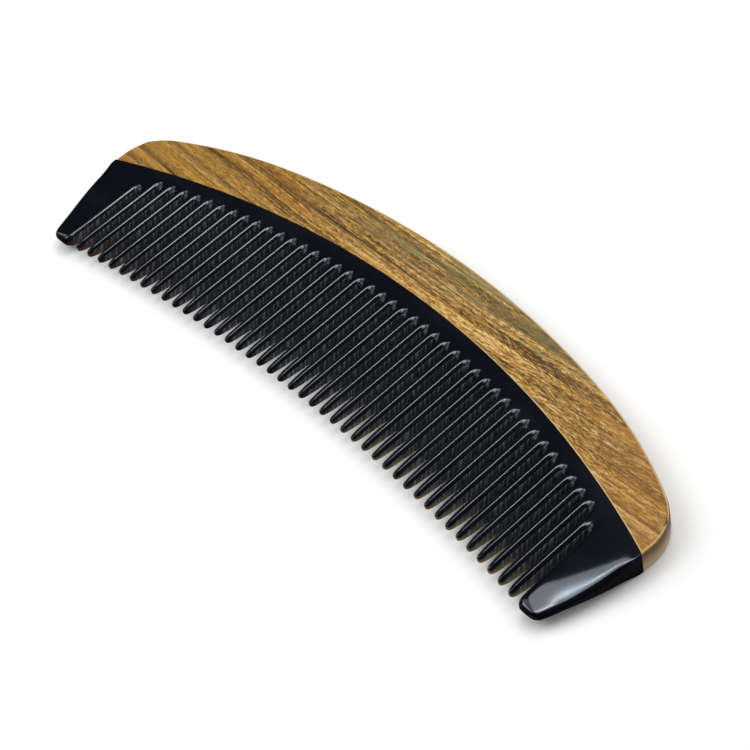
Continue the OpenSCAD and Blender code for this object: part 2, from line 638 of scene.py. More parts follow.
    def tooth_x(self, index: int) -> float:
        """Place along X of a tooth's crest. One past the last is the guard's inner side."""
        return self.plan.gap_x(index) + self.half_pitch

    def place(self, co: Vector) -> Vector:
        """Moves a point of the pattern to its place on the comb.

        Args:
            co: The point, in the row of cells or in a guard.

        Returns:
            Its place.
        """
        side = 1.0 if co.x >= 0 else -1.0
        x, y, z = abs(co.x), co.y, co.z
        count = self.plan.tooth_count
        crest = self.tooth_x(count)
        if x > self.plan.gap_x(count) + NEAR:
            moved = self.place_guard(x - crest, y, z)
        else:
            # The right half of the row, its cells counted from the middle gap outwards.
            index = min(int((x + NEAR) / self.plan.pitch), count // 2 - 1)
            middle = (index + 0.5) * self.plan.pitch
            moved = self.place_tooth(middle, x - middle, y, z)
        return Vector((side * moved.x, moved.y, moved.z))

    def root_at(self, x: float, gap: float, y: float) -> float:
        """Level of the root for a point: that of its own gap near the gap, the arc's far above it.

        Args:
            x: Place of the point along X.
            gap: Place of the middle of its gap.
            y: Its height on the pattern above the root.

        Returns:
            The level along Y.
        """
        plan = self.plan
        cut = plan.end_gap_cut if gap > plan.gap_x(plan.tooth_count) - self.half_pitch else 0.0
        own = plan.root_line(gap) - cut
        level = plan.root_line(x) - cut / 2
        near = 1 - smooth(self.groove_half, self.half_pitch, abs(x - gap))
        low = blend(level, own, near)
        return blend(low, plan.root_line(x), smooth(self.scoop_reach, self.square_y, y))

    def place_tooth(self, middle: float, across: float, y: float, z: float) -> Vector:
        """Moves a point of a tooth's cell.

        Args:
            middle: Place along X of the middle line of the tooth.
            across: Distance of the point from that line.
            y: Its place along the pattern, 0 at the root.
            z: Its height on the pattern.

        Returns:
            Its place on the comb.
        """
        gap = middle + math.copysign(self.half_pitch, across)
        tip = self.plan.tip_line(middle)
        if y >= 0:
            x = middle + across
            return self.lifted(x, self.place_root(x, gap, y), z, 1.0)
        root = self.root_at(middle + across, gap, 0)
        share = -y / self.pattern_length
        along = blend(root, tip, share)
        from_tip = along - tip
        width = self.half_width(from_tip) * self.nose(from_tip, self.tip_half, self.tip_narrow)
        x = middle + across * width / self.root_half
        return self.lifted(x, along, z, self.nose(from_tip, *self.tip_thin))

    def half_width(self, from_tip: float) -> float:
        """Half a tooth's width at a distance from its tip, which swells like a bullet."""
        return blend(self.root_half, self.tip_half, math.exp(-from_tip / self.tip_swell))

    def place_root(self, x: float, gap: float, y: float) -> float:
        """Level along Y of a point at or above the root.

        Args:
            x: Place of the point along X.
            gap: Place of the middle of its gap.
            y: Its height on the pattern above the root.

        Returns:
            The level.
        """
        root = self.root_at(x, gap, y)
        if y <= self.square_y:
            return root + y
        share = (y - self.square_y) / (self.pattern_glue - self.square_y)
        return blend(root + self.square_y, self.plan.glue_line(x), share)

    def nose(self, from_tip: float, reach: float, least: float) -> float:
        """Share of its full size that a tooth has near its tip, on a quarter ellipse."""
        t = min(max(from_tip / reach, 0.0), 1.0)
        return least + (1 - least) * math.sqrt(1 - (1 - t) ** 2)

    def lifted(self, x: float, y: float, z: float, thin: float) -> Vector:
        """Gives a point its height, which keeps the rounding of the walls where the horn is thin.

        Args:
            x: Its place along X.
            y: Its place along Y.
            z: Its height on the pattern.
            thin: Share of the full thickness that the horn has there.

        Returns:
            Its place on the comb.
        """
        half = self.plan.half_thickness(x, y) * thin
        squeeze = min(1.0, half / self.full_wall)
        low = self.wall_top - self.wall_round
        size = abs(z)
        if size > low:
            real = half - (self.pattern_half - size) * squeeze
        else:
            real = (half - (self.pattern_half - low) * squeeze) * size / low
        return Vector((x, y, self.plan.mid_z + (math.copysign(real, z) if z else 0.0)))

    def place_guard(self, across: float, y: float, z: float) -> Vector:
        """Moves a point of a guard.

        Args:
            across: Its distance from the line of the guard's inner crest.
            y: Its place along the pattern, 0 at the root.
            z: Its height on the pattern.

        Returns:
            Its place on the comb.
        """
        plan = self.plan
        gap = plan.gap_x(plan.tooth_count)
        inner = gap + self.half_pitch
        tip = plan.glue_y - self.guard_drop
        share = max(-y / self.pattern_length, 0.0)
        x = inner + across
        for _ in range(self.guard_rounds):
            root = self.root_at(min(x, inner), gap, y)
            along = blend(root, tip, share) if y < 0 else self.place_root(x, gap, y)
            x = self.guard_x(across, along, y < 0)
        half = plan.half_thickness(x, along)
        fall = self.guard_fall(plan.end_x(along) - x, along, along - tip)
        return self.lifted(x, along, z, max((half - fall) / half, self.guard_thin))

    def guard_x(self, across: float, along: float, below_root: bool) -> float:
        """Place along X of a point of a guard.

        Args:
            across: Its distance on the pattern from the line of the inner crest.
            along: Its level along Y.
            below_root: Whether it lies below the root, where the guard has a gap beside it.

        Returns:
            The place.
        """
        plan = self.plan
        from_tip = along - plan.glue_y + self.guard_drop
        t = min(from_tip / self.guard_corner_r, 1.0)
        inset = self.guard_corner_r * (1 - math.sqrt(max(1 - (1 - t) ** 2, 0.0)))
        start = self.tooth_x(plan.tooth_count)
        if below_root:
            start += self.root_half - self.half_width(from_tip) + inset
        if across <= 0:
            return start + across
        return blend(start, plan.end_x(along) - inset, across / self.guard_columns[-1])

    def guard_fall(self, from_edge: float, y: float, from_tip: float) -> float:
        """How far a guard's face falls below the taper.

        Args:
            from_edge: Distance from the outer edge.
            y: Level along Y.
            from_tip: Distance from the guard's tip.

        Returns:
            The fall of the curved bevel or of the facet at the tip, and that of the rounded edge.
        """
        plan = self.plan
        rise = self.bevel_root + self.bevel_run * (y - plan.glue_y) - self.bevel_inner
        inner = self.bevel_inner + self.ramp(rise + self.bevel_ease / 2, self.bevel_ease)
        inside = max(plan.end_x(y) - inner - from_edge, 0.0)
        grown = smooth(*self.bevel_drops, plan.glue_y - y)
        slope = self.bevel_slope * self.ramp(inside, self.bevel_heel)
        bevel = grown * (slope + self.bevel_bend * inside**2 / 2)
        facet = self.facet_slope * self.ramp(self.facet_reach - from_tip, self.facet_ease)
        radius = blend(self.edge_least, self.edge_most, grown)
        round_r = self.rim_corner_r
        beyond = math.hypot(max(round_r - from_edge, 0.0), max(round_r - from_tip * self.tip_edge, 0.0))
        near = min(max((round_r - beyond) / radius, 0.0), 1.0)
        return max(bevel, facet) + radius * (1 - math.sqrt(1 - (1 - near) ** 2))

    def ramp(self, distance: float, ease: float) -> float:
        """Rise of a facet of slope 1, eased over a stretch at its foot.

        Args:
            distance: Distance from the foot.
            ease: Length of the stretch.

        Returns:
            The rise.
        """
        if distance <= 0:
            return 0.0
        return distance * distance / 2 / ease if distance < ease else distance - ease / 2


# The wooden back
@dataclass
class WoodBack:
    """The crescent back: one flat piece of wood between the glue joint and the outline."""

    plan: CombPlan
    along: int = 120
    across: int = 10
    side_turn: float = 66.0
    rim_r: float = 0.6
    rim_steps: int = 3
    steep: float = 60.0
    sharp: float = 40.0

    def build(self, material: bpy.types.Material) -> Piece:
        """Models the back.

        Args:
            material: The finish of the wood.

        Returns:
            The finished piece.
        """
        columns = [2 * k / self.along - 1 for k in range(self.along + 1)]
        rows = [k / self.across for k in range(self.across + 1)]
        piece = new_sheet("wood_comb_back", columns, rows)
        for vertex in piece.data.vertices:
            flat = self.place(vertex.co.x, vertex.co.y)
            vertex.co = (flat.x, flat.y, self.plan.thickness)
        pick(piece)
        edit_mode()
        bpy.ops.mesh.select_all(action="SELECT")
        bpy.ops.mesh.extrude_region_move(TRANSFORM_OT_translate={"value": (0, 0, -self.plan.thickness)})
        object_mode()
        weld(piece, NEAR)
        self.round_rims(piece)
        finish_piece(piece, material, "wood_back", self.sharp)
        return piece

    def turn_at(self, share: float) -> float:
        """Turn of the outline's normal between the middle of the back and side_turn.

        Args:
            share: Share of the outline's length between the two.

        Returns:
            The turn, in degrees.
        """
        ends = (self.plan.shoulder_angle, self.plan.corner_angle, self.side_turn)
        arcs = [(end - start, radius) for (start, radius, _), end in zip(self.plan.arcs, ends)]
        turn, left = 0.0, share * sum(angle * radius for angle, radius in arcs)
        for angle, radius in arcs:
            step = min(left / radius, angle)
            turn += step
            left -= step * radius
        return turn

    def place(self, u: float, v: float) -> Vector:
        """Point of the back in plan.

        Args:
            u: Share of the way along it, from -1 to 1.
            v: Share of the way from the joint to the outline.

        Returns:
            The point, on a patch between the joint, the outline and the last stretch of both rounded corners.
        """
        plan = self.plan
        side = 1.0 if u >= 0 else -1.0
        share = abs(u)
        end = plan.glue_end()
        corner = plan.outline(end)
        half_angle = math.degrees(math.atan2(corner.x, corner.y - plan.glue_centre.y))
        joint = plan.glue_centre + plan.glue_r * heading(half_angle * share)
        back = plan.outline(self.turn_at(share))
        middle = Vector((0, blend(plan.glue_y, plan.half_depth, v)))
        edge = plan.outline(blend(end, self.side_turn, v))
        top = plan.outline(self.side_turn)
        flat = (joint * (1 - v) + back * v) + (middle * (1 - share) + edge * share)
        low = Vector((0, plan.glue_y)).lerp(corner, share)
        high = Vector((0, plan.half_depth)).lerp(top, share)
        point = flat - low.lerp(high, v)
        return Vector((side * point.x, point.y))

    def round_rims(self, piece: Piece) -> None:
        """Rounds the two rims of the outline. The joint's edges stay crisp.

        Args:
            piece: The back.
        """
        pick(piece)
        edit_mode()
        bpy.ops.mesh.select_mode(type="EDGE")
        bpy.ops.mesh.select_all(action="DESELECT")
        bpy.ops.mesh.edges_select_sharp(sharpness=math.radians(self.steep))
        object_mode()

        def in_joint(corner: Vector) -> bool:
            """Tells the corners on the glue joint."""
            return (corner.xy - self.plan.glue_centre).length < self.plan.glue_r + LOOSE

        for edge in piece.data.edges:
            first, second = (piece.data.vertices[i].co for i in edge.vertices)
            joint = in_joint(first) and in_joint(second)
            edge.select = edge.select and abs(first.z - second.z) < LOOSE and not joint
        edit_mode()
        bpy.ops.mesh.bevel(offset=self.rim_r, segments=self.rim_steps, affect="EDGES")
        object_mode()


# Shader maths
class Op(Enum):
    """Operations of a Math node that the finishes use."""

    ADD = "ADD"
    SUBTRACT = "SUBTRACT"
    MULTIPLY = "MULTIPLY"
    POWER = "POWER"
    ABSOLUTE = "ABSOLUTE"
    SINE = "SINE"


@dataclass(frozen=True)
class Wire:
    """A shader socket that takes part in arithmetic: each operation adds its Math node."""

    graph: "Graph"
    socket: bpy.types.NodeSocket

    def math(self, op: Op, first: object, second: object = None) -> "Wire":
        """Adds one Math node on two values or wires."""
        sockets = {0: first} if second is None else {0: first, 1: second}
        return self.graph.node("ShaderNodeMath", {"operation": op.value}, sockets)

    def __add__(self, other: object) -> "Wire":
        """Sum."""
        return self.math(Op.ADD, self, other)

    __radd__ = __add__

    def __sub__(self, other: object) -> "Wire":
        """Difference."""
        return self.math(Op.SUBTRACT, self, other)

    def __rsub__(self, other: object) -> "Wire":
        """Difference with the wire on the right."""
        return self.math(Op.SUBTRACT, other, self)

    def __mul__(self, other: object) -> "Wire":
        """Product."""
        return self.math(Op.MULTIPLY, self, other)

    __rmul__ = __mul__

    def __pow__(self, other: object) -> "Wire":
        """Power."""
        return self.math(Op.POWER, self, other)

    def __abs__(self) -> "Wire":
        """Size without its sign."""
        return self.math(Op.ABSOLUTE, self)

    def sine(self) -> "Wire":
        """Sine of an angle in radians."""
        return self.math(Op.SINE, self)

    def step(self, low: float, high: float) -> "Wire":
        """Smooth rise from 0 at low to 1 at high, or a fall where high is the smaller.

        Args:
            low: Where it is 0.
            high: Where it is 1.

        Returns:
            The wire of the rise.
        """
        first, second, start, end = (low, high, 0.0, 1.0) if low < high else (high, low, 1.0, 0.0)
        sockets = {0: self, 1: first, 2: second, 3: start, 4: end}
        return self.graph.node("ShaderNodeMapRange", {"interpolation_type": "SMOOTHSTEP"}, sockets)

    def window(self, rise: Span, fall: Span) -> "Wire":
        """A rise and, further up, a fall."""
        return self.step(*rise) * self.step(*fall)


@dataclass(frozen=True)
class Noise:
    """A noise: its cells for a millimetre along each axis, its octaves, their roughness and its step."""

    cells: Triple
    octaves: float = 2.0
    rough: float = 0.5
    step: Span | None = None


class Graph:
    """The node tree of one material, and the ways in which nodes are added to it."""

    def __init__(self, name: str) -> None:
        """Starts an empty material.

        Args:
            name: Its name.
        """
        self.material = bpy.data.materials.new(name)
        self.material.use_nodes = True
        self.tree = self.material.node_tree
        self.tree.nodes.clear()

    def node(
        self, kind: str, settings: dict | None = None, sockets: dict | None = None, out: int | str = 0
    ) -> Wire:
        """Adds a node.

        Args:
            kind: The node's type.
            settings: Its properties, set first. The stops of a ramp are pairs of place and colour.
            sockets: Values or wires by input name or number.
            out: The output that is returned.

        Returns:
            The output as a wire.
        """
        made = self.tree.nodes.new(kind)
        for name, value in (settings or {}).items():
            if name == "stops":
                self.set_stops(made.color_ramp, value)
            else:
                setattr(made, name, value)
        for name, value in (sockets or {}).items():
            self.feed(made.inputs[name], value)
        return Wire(self, made.outputs[out])

    def feed(self, socket: bpy.types.NodeSocket, value: object) -> None:
        """Links a wire to an input, or sets the input's own value.

        Args:
            socket: The input.
            value: A wire, a number, a vector or a colour.
        """
        if isinstance(value, Wire):
            self.tree.links.new(value.socket, socket)
        elif isinstance(value, tuple) and len(value) == 3 and socket.type == "RGBA":
            socket.default_value = (*value, 1.0)
        else:
            socket.default_value = value

    def set_stops(self, ramp: bpy.types.ColorRamp, stops: Sequence[tuple[float, Colour]]) -> None:
        """Gives a ramp its stops.

        Args:
            ramp: The ramp.
            stops: Place and colour of each.
        """
        while len(ramp.elements) < len(stops):
            ramp.elements.new(0.5)
        for element, (place, colour) in zip(ramp.elements, stops):
            element.position = place
            element.color = (*colour, 1.0)

    @cached_property
    def spot(self) -> Wire:
        """Point on the piece, in millimetres."""
        coords = self.node("ShaderNodeTexCoord", out="Object")
        return self.node("ShaderNodeMapping", None, {"Vector": coords, "Scale": (1 / MM,) * 3})

    @cached_property
    def axes(self) -> tuple[Wire, Wire, Wire]:
        """The three numbers of that point."""
        return self.parts(self.spot)

    def parts(self, vector: Wire) -> tuple[Wire, Wire, Wire]:
        """The three numbers of a vector."""
        outputs = self.node("ShaderNodeSeparateXYZ", None, {0: vector}).socket.node.outputs
        return Wire(self, outputs[0]), Wire(self, outputs[1]), Wire(self, outputs[2])

    def vector(self, x: Wire, y: Wire, z: Wire) -> Wire:
        """A vector of three numbers."""
        return self.node("ShaderNodeCombineXYZ", None, {0: x, 1: y, 2: z})

    def tilt(self) -> Wire:
        """How level the surface lies: 1 on a flat face, 0 on an upright wall."""
        return abs(self.parts(self.node("ShaderNodeNewGeometry", out="Normal"))[2])

    def noise(self, place: Wire, kind: Noise) -> Wire:
        """Adds a noise.

        Args:
            place: The point at which it is taken.
            kind: Its sizes.

        Returns:
            Numbers from about 0 to 1, or their smooth step.
        """
        spread = self.node("ShaderNodeVectorMath", {"operation": "MULTIPLY"}, {0: place, 1: kind.cells})
        sockets = {"Vector": spread, "Scale": 1.0, "Detail": kind.octaves, "Roughness": kind.rough}
        made = self.node("ShaderNodeTexNoise", None, sockets)
        return made.step(*kind.step) if kind.step else made

    def mix(self, share: Wire, first: object, second: object) -> Wire:
        """Mixes two colours, by a share of the second."""
        return self.node("ShaderNodeMix", {"data_type": "RGBA"}, {0: share, 6: first, 7: second}, 2)

    def bump(self, height: Wire, strength: float, depth: float) -> Wire:
        """A normal by a relief whose depth is in millimetres."""
        sockets = {"Strength": strength, "Distance": depth * MM, "Height": height}
        return self.node("ShaderNodeBump", None, sockets)

    def principled(self, colour: Wire, rough: Wire, normal: Wire, refraction: float) -> Wire:
        """A shader of one colour, roughness, normal and index of refraction."""
        sockets = {"Base Color": colour, "Roughness": rough, "Normal": normal, "IOR": refraction}
        return self.node("ShaderNodeBsdfPrincipled", None, sockets)

    def surface(self, shader: Wire) -> bpy.types.Material:
        """Makes a shader the material's surface.

        Args:
            shader: The shader.

        Returns:
            The material.
        """
        end = self.tree.nodes.new("ShaderNodeOutputMaterial")
        self.tree.links.new(shader.socket, end.inputs["Surface"])
        return self.material


@dataclass(frozen=True)
class HornFinish:
    """Polished near-black horn with faint saw strokes on the sides of its teeth, painted shade on its unsawn
    walls and a painted amber glow of light coming through the thin ends of the teeth.

    The two bumps are a strength and a depth. The other spans are smooth steps over places in millimetres,
    over the tilt of the surface or over the saw's wave.
    """

    plan: CombPlan
    black: Colour = (0.0038, 0.0048, 0.0072)
    smoke: Colour = (0.0065, 0.0078, 0.0105)
    # Tints of the painted glow of light through thin horn: ember-red on the left, amber on the right.
    amber: Colour = (0.3, 0.25, 0.12)
    ember: Colour = (0.12, 0.06, 0.042)
    # Near-black of the unsawn walls at the tips and the guards' ends: the horn's black, darkened further as
    # painted shade.
    painted_shade_black: Colour = (0.0012, 0.0014, 0.0024)
    sawn: Colour = (0.05, 0.054, 0.06)
    stroke: Colour = (0.21, 0.218, 0.23)
    cloud: Noise = Noise((0.05, 0.09, 0.2), 3.0, 0.55, (0.42, 0.68))
    gloss: float = 0.09
    haze: Noise = Noise((0.6, 0.6, 0.6), 4.0)
    scratch: Noise = Noise((2.2, 0.5, 2.2), 3.0)
    scratch_bump: Span = (0.05, 0.03)
    refraction: float = 1.55
    side_tilt: Span = (0.75, 0.5)
    worked_from_tip: Span = (0.4, 3.0)
    worked_x: Span = (77.0, 75.5)
    saw_lean: float = 0.28
    saw_turns: float = 4.6
    saw_wander: Noise = Noise((0.29, 0.5, 0.1), 1.0, 0.4)
    saw_swing: float = 14.0
    saw_step: Span = (-0.1, 0.9)
    saw_worn: Noise = Noise((0.29, 1.6, 0.25), 2.0, 0.5, (0.3, 0.62))
    saw_bump: Span = (0.4, 0.05)
    sawn_refraction: float = 1.08
    # Where the painted glow of light through thin horn falls and how it fades.
    thin_from_tip: Span = (9.0, 0.5)
    low_side: Span = (1.2, -1.0)
    painted_glow_patch: Noise = Noise((0.09, 0.12, 0.3), 2.0, 0.5, (0.2, 0.55))
    painted_glow_x: Span = (74.3, 73.4)
    glow_tint_x: Span = (-40.0, 20.0)
    faint_x: float = -16.0
    faint_reach: Span = (14.0, 46.0)
    faint_share: float = 0.04

    def build(self) -> bpy.types.Material:
        """Makes the material.

        Returns:
            The material.
        """
        g = Graph("polished_horn")
        plan = self.plan
        x, y, _ = g.axes
        from_tip = y - (plan.glue_y - plan.tip_drop) + x * x * (0.5 / plan.tip_r)
        rough = self.gloss + g.noise(g.spot, self.haze) * 0.03
        scratches = g.bump(g.noise(g.spot, self.scratch), *self.scratch_bump)
        body = g.mix(g.noise(g.spot, self.cloud), self.black, self.smoke)
        polished = g.principled(body, rough, scratches, self.refraction)
        worked = from_tip.step(*self.worked_from_tip) * abs(x).step(*self.worked_x)
        strokes = self.strokes(g) * worked
        # Wall colour: saw strokes over sawn grey where the walls were worked, and painted shade on the unsawn
        # walls.
        sawn_and_shaded = g.mix(strokes, g.mix(worked, self.painted_shade_black, self.sawn), self.stroke)
        # Tint of the painted glow of light through thin horn, laid over the walls' colour.
        tint = g.mix(x.step(*self.glow_tint_x), self.ember, self.amber)
        colour = g.mix(self.glow(g, from_tip), sawn_and_shaded, tint)
        relief = g.bump(strokes, *self.saw_bump)
        sawn = g.principled(colour, 0.45 + strokes * 0.15, relief, self.sawn_refraction)
        side = g.tilt().step(*self.side_tilt)
        return g.surface(g.node("ShaderNodeMixShader", None, {0: side, 1: polished, 2: sawn}))

    def strokes(self, g: Graph) -> Wire:
        """The leaning strokes that the saw left in the gaps, worn away in places.

        Args:
            g: The graph.

        Returns:
            A share from 0 to 1.
        """
        x, y, z = g.axes
        lean = y - z * self.saw_lean
        spot = g.vector(x, lean, z)
        saw = (lean * self.saw_turns + g.noise(spot, self.saw_wander) * self.saw_swing).sine()
        return saw.step(*self.saw_step) * g.noise(spot, self.saw_worn)

    def glow(self, g: Graph, from_tip: Wire) -> Wire:
        """Painted glow of light coming through the thin horn: low on the thin ends of the teeth, least left of
        the middle.

        Args:
            g: The graph.
            from_tip: Distance from the arc of the tips.

        Returns:
            A share from 0 to 1.
        """
        x, _, z = g.axes
        low = (z - self.plan.mid_z).step(*self.low_side)
        spread = abs(x - self.faint_x).step(*self.faint_reach) * (1 - self.faint_share) + self.faint_share
        patch = g.noise(g.spot, self.painted_glow_patch) * spread * abs(x).step(*self.painted_glow_x)
        return from_tip.step(*self.thin_from_tip) * low * patch


@dataclass(frozen=True)
class WoodFinish:
    """Oiled wood: gold with brown streaks, olive and rusty patches, growth lines and a herringbone.

    A span is a smooth step over a place in millimetres or over the tilt of the surface, and a window a rise
    and a fall. But relief is a strength and a depth, stroke_slant a slope across and along, and chip a place.
    """

    plan: CombPlan
    tones: Sequence[tuple[float, Colour]] = (
        (0.0, (0.03, 0.016, 0.004)),
        (0.24, (0.125, 0.055, 0.009)),
        (0.44, (0.26, 0.135, 0.022)),
        (0.6, (0.39, 0.205, 0.032)),
        (0.78, (0.55, 0.325, 0.085)),
        (1.0, (0.74, 0.53, 0.22)),
    )
    olive: Colour = (0.17, 0.145, 0.055)
    rust: Colour = (0.36, 0.145, 0.016)
    ash: Colour = (0.34, 0.24, 0.12)
    dark: Colour = (0.05, 0.028, 0.01)
    # Pale colour of the real chip, also used for the painted highlights on the joint and the rim.
    pale_chip_and_highlight: Colour = (0.72, 0.53, 0.25)
    # Colours of the outer walls: darker at the top, and a painted reflection of the pale floor at the foot.
    wall_top: Colour = (0.055, 0.025, 0.004)
    wall_foot_floor_reflection: Colour = (0.52, 0.39, 0.26)
    refraction: float = 1.28
    sway: Noise = Noise((0.02, 0.05, 0.05))
    bow: float = 0.0003
    streaks: Noise = Noise((0.03, 2.6, 1.4), 5.0, 0.75)
    pores: Noise = Noise((0.55, 6.5, 6.0), 2.0, 0.6, (0.62, 0.7))
    pale_reach: Span = (7.0, 2.0)
    pale_x: Window = ((-45.0, -15.0), (60.0, 30.0))
    relief: Span = (0.3, 0.06)
    broad: Noise = Noise((0.01, 0.45, 0.2))
    flecks: Noise = Noise((0.6, 2.7, 2.4), 3.0, 0.8)
    calm_left: Span = (-80.0, -10.0)
    calm_right: Span = (48.0, 76.0)
    sides: Noise = Noise((0.025, 0.32, 0.3), 1.0, 0.5, (0.47, 0.53))
    strokes: Noise = Noise((0.17, 2.6, 1.8), 3.0, 0.75)
    stroke_slant: Span = (2.8, 0.34)
    stroke_x: Window = ((-5.0, 32.0), (84.0, 58.0))
    olive_y: Span = (17.0, 21.5)
    olive_middle: float = 8.0
    olive_x: Window = ((-52.0, -18.0), (52.0, 26.0))
    olive_patch: Noise = Noise((0.05, 0.5, 0.3), 3.0, 0.65, (0.38, 0.62))
    rusty_patch: Noise = Noise((0.02, 0.28, 0.2), 2.0, 0.6, (0.5, 0.72))
    rusty_x: Span = (40.0, 80.0)
    ashen_streak: Noise = Noise((0.035, 0.9, 0.6), 4.0, 0.75, (0.46, 0.66))
    wave: Noise = Noise((0.05, 0.05, 0.05))
    # For each long line: its level, how much it waves, how its width fades, its ends along X and its share.
    long_lines: Sequence[tuple[float, float, Span, Window, float]] = (
        (16.6, 1.0, (0.26, 0.06), ((-68.0, -60.0), (14.0, -4.0)), 1.0),
        (19.7, 0.8, (0.22, 0.05), ((-48.0, -42.0), (6.0, -4.0)), 0.8),
    )
    short_lines: Noise = Noise((0.006, 0.5, 0.3), 1.0)
    short_width: Span = (0.012, 0.0)
    short_patch: Noise = Noise((0.07, 0.4, 0.4), 2.0, 0.5, (0.5, 0.62))
    # Width, and reach along X, of the painted highlight on the joint's crisp edge.
    joint_highlight_reach: Span = (0.34, 0.12)
    joint_highlight_x: Span = (2.0, 26.0)
    chip: Span = (64.0, 4.5)
    chip_edge: Span = (0.28, 0.08)
    rim_highlight_tilt: Window = ((0.5, 0.75), (0.985, 0.9))
    floor_reflection_z: Span = (5.0, 0.2)
    wall_x: Span = (64.0, 79.0)
    wall_tilt: Span = (0.5, 0.15)

    def build(self) -> bpy.types.Material:
        """Makes the material.

        Returns:
            The material.
        """
        g = Graph("streaked_wood")
        x, y, z = g.axes
        sway = (g.noise(g.spot, self.sway) - 0.5) * 3.0
        grain = g.vector(x, y + sway - x * x * self.bow, z)
        streak = g.noise(grain, self.streaks)
        pores = g.noise(grain, self.pores)
        pale = self.from_joint(g).step(*self.pale_reach) * x.window(*self.pale_x)
        tone = self.tone(g, grain, streak) + self.figure(g, grain)
        tone = tone - pores * 0.26 + pale * 0.1
        colour = g.node("ShaderNodeValToRGB", {"stops": self.tones}, {0: tone})
        colour = self.stain(g, grain, colour)
        colour = g.mix(self.growth_lines(g, grain) * 0.7, colour, self.dark)
        colour = self.edges(g, colour)
        normal = g.bump(streak * 0.6 - pores, *self.relief)
        rough = 0.4 + pores * 0.2 + streak * 0.1
        return g.surface(g.principled(colour, rough, normal, self.refraction))

    def from_joint(self, g: Graph) -> Wire:
        """Distance from the glue joint.

        Args:
            g: The graph.

        Returns:
            The distance in millimetres.
        """
        x, y, _ = g.axes
        drop = y - self.plan.glue_centre.y
        return (x * x + drop * drop) ** 0.5 - self.plan.glue_r

    def tone(self, g: Graph, grain: Wire, streak: Wire) -> Wire:
        """How light the wood is, by its broad bands, its streaks and its flecks, calmer at both ends.

        Args:
            g: The graph.
            grain: Point in the wood, bent with its grain.
            streak: The noise of the streaks.

        Returns:
            A place on the ramp of tones.
        """
        x = g.axes[0]
        lively = x.step(*self.calm_left) * 0.65 + 0.5 - x.step(*self.calm_right) * 0.15
        broad = (g.noise(grain, self.broad) - 0.5) * 1.2
        fine = (streak - 0.5) * 2.1 + (g.noise(grain, self.flecks) - 0.5) * 2.1
        return 0.46 + broad + fine * lively

    def figure(self, g: Graph, grain: Wire) -> Wire:
        """The herringbone on the right half: short strokes that lean one way and then the other.

        Args:
            g: The graph.
            grain: Point in the wood, bent with its grain.

        Returns:
            What it adds to the tone.
        """
        x, y, z = g.axes
        side = g.noise(grain, self.sides)
        across, along = self.stroke_slant
        rise = g.noise(g.vector(x + y * across, y - x * along, z), self.strokes)
        fall = g.noise(g.vector(x - y * across, y + x * along, z), self.strokes)
        strokes = rise * side + fall * (1.0 - side)
        return (strokes - 0.5) * (0.2 + x.window(*self.stroke_x) * 1.1)

    def stain(self, g: Graph, grain: Wire, colour: Wire) -> Wire:
        """Olive patches along the top of the middle, rusty ones below and ashen streaks all over.

        Args:
            g: The graph.
            grain: Point in the wood, bent with its grain.
            colour: The colour below.

        Returns:
            The colour.
        """
        x, y, _ = g.axes
        high = y.step(*self.olive_y) * (x - self.olive_middle).window(*self.olive_x)
        colour = g.mix(high * g.noise(grain, self.olive_patch) * 0.7, colour, self.olive)
        rusty = g.noise(grain, self.rusty_patch) * 0.65 + x.step(*self.rusty_x) * 0.35
        colour = g.mix(rusty * (1.0 - high), colour, self.rust)
        return g.mix(g.noise(grain, self.ashen_streak) * 0.3, colour, self.ash)

    def growth_lines(self, g: Graph, grain: Wire) -> Wire:
        """Two long dark lines on the left half, a few short ones anywhere.

        Args:
            g: The graph.
            grain: Point in the wood, bent with its grain.

        Returns:
            How much of the dark colour shows.
        """
        x, y, _ = g.axes
        wave = (g.noise(grain, self.wave) - 0.5) * 1.6
        short = abs(g.noise(grain, self.short_lines) - 0.5).step(*self.short_width)
        shown = short * g.noise(grain, self.short_patch) * 0.7
        for level, waving, width, ends, share in self.long_lines:
            shown = shown + abs(y + wave * waving - level).step(*width) * x.window(*ends) * share
        return shown

    def edges(self, g: Graph, colour: Wire) -> Wire:
        """The painted highlights along the joint and on the rounded rim, the small pale chip in the joint, and
        the outer walls with a painted reflection of the floor at their foot.

        Args:
            g: The graph.
            colour: The colour below.

        Returns:
            The colour.
        """
        x, y, z = g.axes
        # Painted highlight of the joint's crisp edge catching the light, on the right half only.
        line = self.from_joint(g).step(*self.joint_highlight_reach) * x.step(*self.joint_highlight_x)
        right, back = x - self.chip[0], y - self.chip[1]
        chip = (right * right * 0.5 + back * back).step(*self.chip_edge)
        # Lays in the painted joint highlight and the pale chip.
        colour = g.mix(line * 0.6 + chip * 0.4, colour, self.pale_chip_and_highlight)
        up = g.tilt()
        # Painted highlight on the rounded rim.
        colour = g.mix(up.window(*self.rim_highlight_tilt) * 0.7, colour, self.pale_chip_and_highlight)
        # Outer walls darker at the top and lightened towards the foot by a painted reflection of the floor,
        # most on the end walls.
        wall = g.mix(z.step(*self.floor_reflection_z), self.wall_top, self.wall_foot_floor_reflection)
        end_wall_share = abs(x).step(*self.wall_x) * 0.5 + 0.35
        return g.mix(up.step(*self.wall_tilt) * end_wall_share, colour, wall)


@dataclass(frozen=True)
class FloorFinish:
    """Plain pale paper."""

    paper: Colour = (0.93, 0.935, 0.93)

    def build(self) -> bpy.types.Material:
        """Makes the material."""
        g = Graph("pale_floor")
        return g.surface(g.node("ShaderNodeBsdfDiffuse", None, {"Color": self.paper}))


# Light, floor and camera
class Role(Enum):
    """What a light does: it lights matt surfaces or shows in glossy ones."""

    FILL = "fill"
    SHINE = "shine"


